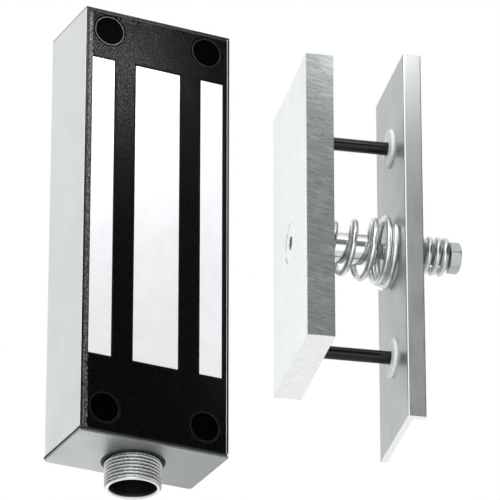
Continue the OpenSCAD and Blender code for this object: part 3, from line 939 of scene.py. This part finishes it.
def guide_bushings():
    """A flanged bushing in the bracket for each pin."""
    for name, z in (("upper", PIN_Z), ("lower", -PIN_Z)):
        front = BRACKET_X - BUSH_FLANGE_T
        end = BRACKET_BACK + 4
        corners = [(front, BUSH_BORE_R), (front, BUSH_FLANGE_R), (BRACKET_X, BUSH_FLANGE_R),
                   (BRACKET_X, BUSH_R), (BRACKET_BACK, BUSH_R), (BRACKET_BACK, BUSH_TAIL_R),
                   (end, BUSH_TAIL_R), (end, BUSH_BORE_R)]
        profile = fillet(corners, [0.3, 0.5, 0.15, 0.1, 0.1, 0.1, 0.5, 0.3], 4)
        place = ARM @ Matrix.Translation((0, 0, z * MM))
        piece(f"nylon_bushing_{name}", turned(profile, 96, hollow=True), "bracket",
              LOOKS["nylon"], f"guide_bushing_{name}", place)


# ---- springs ----

def coil_shape(x0, length, r0, r1, turns, wire, start, closed, easing=0.0, low=None):
    """Left-hand coil along X. The closed turns at its ends have a low pitch, and the pitch falls to it over
    the easing turns."""
    low = low or wire
    first, last = closed
    pitch = (length - (first + last + easing / 2) * low) / (turns - first - last - easing / 2)
    ease_start = turns - last - easing

    def lift(s):
        if s < first:
            return s * low
        if s > turns - last:
            return length - (turns - s) * low
        fall = max(0.0, s - ease_start)
        x = first * low + (s - first) * pitch
        return x - (pitch - low) * fall ** 2 / (2 * easing) if fall and easing else x

    def point(s):
        near = [min(turns, max(0.0, s + d)) for d in (-0.06, -0.03, 0, 0.03, 0.06)]
        x = sum(lift(v) for v in near) / 5 if 0.06 < s < turns - 0.06 else lift(s)
        r = r0 + (r1 - r0) * s / turns
        a = start - TAU * s
        return Vector((x0 + x, -r * math.sin(a), r * math.cos(a)))

    steps = round(turns * STEPS_PER_TURN)
    stations = [(turns * i / steps, 1.0) for i in range(2, steps - 1)]
    stations = [(0.0, 0.6), (0.003, 0.86), (0.009, 1.0)] + stations
    stations += [(turns - 0.009, 1.0), (turns - 0.003, 0.86), (turns, 0.6)]
    rings = []
    for s, share in stations:
        here = point(s)
        ahead = (point(min(turns, s + 0.004)) - point(max(0, s - 0.004))).normalized()
        out = Vector((0, here.y, here.z)).normalized()
        out = (out - ahead * out.dot(ahead)).normalized()
        side = ahead.cross(out)
        spokes = circle(wire / 2 * share, WIRE_SIDES)
        rings.append([tuple(here + out * across + side * along) for across, along in spokes])
    return loft(rings), len(rings)


def wire_map(obj, rings):
    """A map with the distance along the wire and the way round it."""
    length = 30.0
    layer = obj.data.uv_layers.new(name="wire")
    for loop in obj.data.loops:
        ring, k = divmod(loop.vertex_index, WIRE_SIDES)
        layer.data[loop.index].uv = (ring / rings * length, k / WIRE_SIDES)


def spring(name, node_name, material, body_a, body_b, seat_a, seat_b, **shape):
    """A coil between two bodies, made on ARM's axis."""
    made, rings = coil_shape(**shape)
    obj = raw_object(name, made, ARM)
    for face in obj.data.polygons:
        face.use_smooth = True
    obj.data.set_sharp_from_angle(angle=math.radians(50))
    wire_map(obj, rings)
    obj.data.materials.append(material)
    obj.data.transform(obj.matrix_world)
    obj.matrix_world = HERE
    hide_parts(node_name)
    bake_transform(obj)


def springs():
    """The conical spring before the bracket and the short one behind it."""
    wire, seat = 3.0, 0.1
    spring("conical_spring_wire", "conical_spring", LOOKS["wire"], "armature", "bracket",
           PLATE_T + wire, BRACKET_X - wire, x0=PLATE_T + wire / 2 + seat,
           length=BRACKET_X - PLATE_T - wire - 2 * seat, r0=9.25, r1=16.5, turns=5, wire=wire,
           start=math.radians(68), closed=(0.75, 1), easing=1, low=0.93 * wire)
    seat_x = BRACKET_BACK - SPRING_SEAT_T
    spring("back_spring_wire", "back_spring", LOOKS["wire_back"], "bracket", "armature",
           seat_x + wire, BOLT_HEAD_X - wire, x0=seat_x + wire / 2 + seat,
           length=BOLT_HEAD_X - seat_x - wire - 2 * seat, r0=7.5, r1=7.5, turns=5.5, wire=wire,
           start=math.radians(150), closed=(0.9, 0.9))


# ---- inner parts that keep their CAD shape ----

INNER = {"coil_winding": "copper", "coil_lead_left": "copper", "coil_lead_right": "copper",
         "coil_bobbin": "bobbin", "splice_board": "board", "surge_varistor": "varistor",
         "terminal_block": "block"}


def inner_parts():
    """Gives the inner parts their materials."""
    for name, key in INNER.items():
        data = frame["nodes"][name].data
        data.materials.clear()
        data.materials.append(LOOKS[key])


# ---- studio ----

def studio_floor():
    """Large pale floor, far enough below for a low camera."""
    size, drop = 30.0, 1.9
    mesh = bpy.data.meshes.new("studio_floor")
    mesh.from_pydata([(-size, -size, -drop), (size, -size, -drop), (size, size, -drop), (-size, size, -drop)],
                     [], [(0, 1, 2, 3)])
    floor = bpy.data.objects.new("studio_floor", mesh)
    bpy.context.scene.collection.objects.link(floor)
    material, tree, shader = look("pale_floor", (0.90, 0.90, 0.90), 0.9)
    tone(tree, shader, grain(tree, place_of(tree), 400.0), (0.90, 0.90, 0.90), 0.01)
    mesh.materials.append(material)


def studio_world():
    """White surround with a wide dim side, to the front right, and a narrow dim strip across from it. Bare
    metal picks them up as its darker tones. Seen directly, the surround is white all over."""
    world = bpy.data.worlds.new("studio")
    bpy.context.scene.world = world
    world.use_nodes = True
    tree = world.node_tree
    tree.nodes.clear()
    way = node(tree, "TexCoord").outputs["Generated"]
    height = node(tree, "SeparateXYZ", {0: way}).outputs[2]
    front_right = (0.883, -0.469, 0)
    side = node(tree, "VectorMath", {0: way, 1: front_right}, operation="DOT_PRODUCT").outputs["Value"]

    def ramp(value, start, end, low, high):
        inputs = {0: value, 1: start, 2: end, 3: low, 4: high}
        return node(tree, "MapRange", inputs, interpolation_type="SMOOTHSTEP").outputs[0]

    def product(first, *others):
        for other in others:
            first = node(tree, "Math", {0: first, 1: other}, operation="MULTIPLY").outputs[0]
        return first

    wide = product(ramp(side, 0.08, 0.52, 0.0, 1.0), ramp(height, 0.55, 0.85, 1.0, 0.0),
                   ramp(height, -0.45, -0.15, 0.0, 1.0))
    strip = product(ramp(side, -0.78, -0.88, 0.0, 1.0), ramp(height, 0.45, 0.60, 1.0, 0.0),
                    ramp(height, -0.30, 0.10, 0.0, 1.0))
    dim = node(tree, "Math", {0: wide, 1: strip}, operation="MAXIMUM").outputs[0]
    light = node(tree, "MapRange", {0: dim, 1: 0.0, 2: 1.0, 3: 0.95, 4: 0.05}).outputs[0]
    seen = node(tree, "LightPath").outputs["Is Camera Ray"]
    level = node(tree, "Mix", {0: seen, 2: light, 3: 1.0}, data_type="FLOAT").outputs[0]
    surface = node(tree, "Background", {"Color": (1, 1, 1, 1), "Strength": level})
    node(tree, "OutputWorld", {"Surface": surface.outputs[0]}).is_active_output = True


def area_light(name, spot, target, size, watts, spread=180):
    """A round lamp of a size in metres, aimed at a target, whose light spreads over an angle."""
    data = bpy.data.lights.new(name, "AREA")
    data.spread = math.radians(spread)
    data.shape = "DISK"
    data.size = size
    data.energy = watts
    lamp = bpy.data.objects.new(name, data)
    bpy.context.scene.collection.objects.link(lamp)
    lamp.location = spot
    lamp.rotation_mode = "QUATERNION"
    lamp.rotation_quaternion = (Vector(target) - Vector(spot)).to_track_quat("-Z", "Y")
    lamp.visible_camera = False


def studio_camera():
    """The camera stands in front, to the left and below, and looks 26 degrees to the right and 26 up."""
    spot = Vector((-0.8165, -1.8130, -0.9561))
    turn, rise = math.radians(25.94), math.radians(25.84)
    sight = Vector((math.sin(turn) * math.cos(rise), math.cos(turn) * math.cos(rise), math.sin(rise)))
    data = bpy.data.cameras.new("camera")
    data.lens = 350
    data.sensor_width = 36
    camera = bpy.data.objects.new("camera", data)
    bpy.context.scene.collection.objects.link(camera)
    camera.location = spot
    camera.rotation_mode = "QUATERNION"
    camera.rotation_quaternion = sight.to_track_quat("-Z", "Y")
    bpy.context.scene.camera = camera


bpy.context.scene.view_settings.view_transform = "Standard"
studio_camera()
studio_floor()
studio_world()
area_light("face_light", (0.022, -0.160, 0.142), (-0.04, -0.03, 0.072), 0.042, 0.026, 70)
area_light("edge_light", (0.081, -0.205, 0.172), (0.089, -0.07, 0.08), 0.04, 0.0024, 50)
area_light("flange_light", (0.110, -0.220, 0.156), (0.115, -0.085, 0.09), 0.05, 0.0011, 60)
area_light("low_front_light", (-0.45, -1.35, -0.60), (0.04, -0.03, 0), 1.6, 4.6)
area_light("high_left_light", (-0.77, -0.70, 0.78), (0.04, -0.05, 0), 1.2, 7)
area_light("cap_light", (0.024, 0.111, -0.170), (-0.035, -0.010, -0.105), 0.06, 0.011)
area_light("floor_light", (1.6, 3.3, 1.0), (1.6, 3.3, -1.9), 2.0, 30)

case_shell()
end_cap("top_plate", "top_cap")
nipple_spot = middle("conduit_seal") / MM
end_cap("bottom_plate", "bottom_cap", (nipple_spot.x, nipple_spot.y))
cap_gasket("bottom_seal", "bottom_gasket", True)
cap_gasket("top_seal", "top_gasket", False)
laminated_core()
resin_face()
wells_and_plugs()
conduit_nipple()
conduit_seal()
armature_plate()
armature_screw()
standoff_post()
hex_bolt()
guide_pins()
armature_bracket()
guide_bushings()
springs()
inner_parts()
